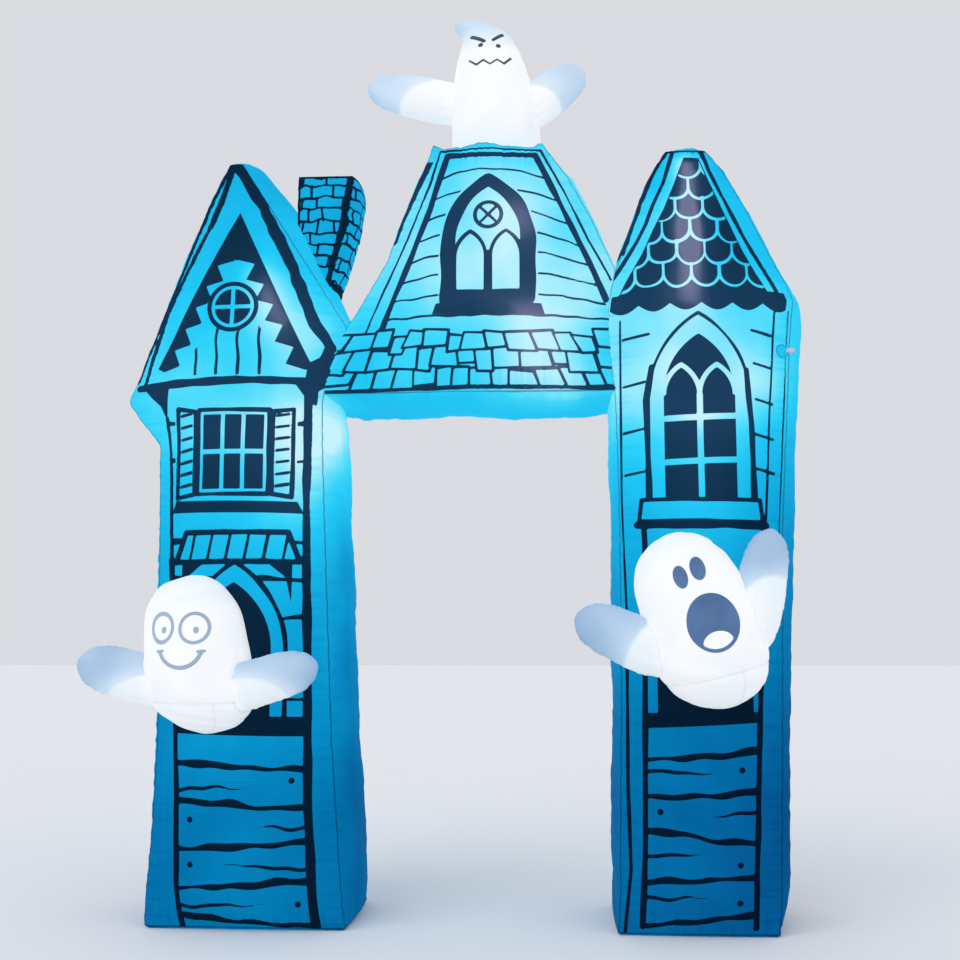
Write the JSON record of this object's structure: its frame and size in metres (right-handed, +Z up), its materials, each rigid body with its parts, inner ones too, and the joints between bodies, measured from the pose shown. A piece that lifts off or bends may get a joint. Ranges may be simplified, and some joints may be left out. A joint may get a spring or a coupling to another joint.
{
  "type": "inflatable arch",
  "caption": "Air-filled cloth archway of two gabled house towers and a bridge house, printed as boarded walls, with small glowing ghosts.",
  "frame": {"origin": "middle of the whole arch's footprint, on the ground", "axes": "+Z up, -Y towards the printed front, +X to the right seen from the front"},
  "size_m": [2.3096, 0.7584, 3.063],
  "materials": {
    "printed_blue": "thin coated polyester, cyan to deep blue dye print with dark line work, taut, lit from inside",
    "ghost_white": "thin white coated polyester, taut, lit from inside",
    "webbing_white": "woven polyester webbing, sewn into a loop"
  },
  "bodies": {
    "root": {"left_tower": "printed_blue", "centre_house": "printed_blue", "right_tower": "printed_blue", "chimney": "printed_blue", "smiling_ghost": "ghost_white", "shouting_ghost": "ghost_white", "roof_ghost": "ghost_white", "smiling_ghost_arm_left": "ghost_white", "smiling_ghost_arm_right": "ghost_white", "shouting_ghost_arm_left": "ghost_white", "shouting_ghost_arm_right": "ghost_white", "roof_ghost_arm_left": "ghost_white", "roof_ghost_arm_right": "ghost_white", "tether_patch": "printed_blue", "tether_loop": "webbing_white"}
  },
  "joints": []
}
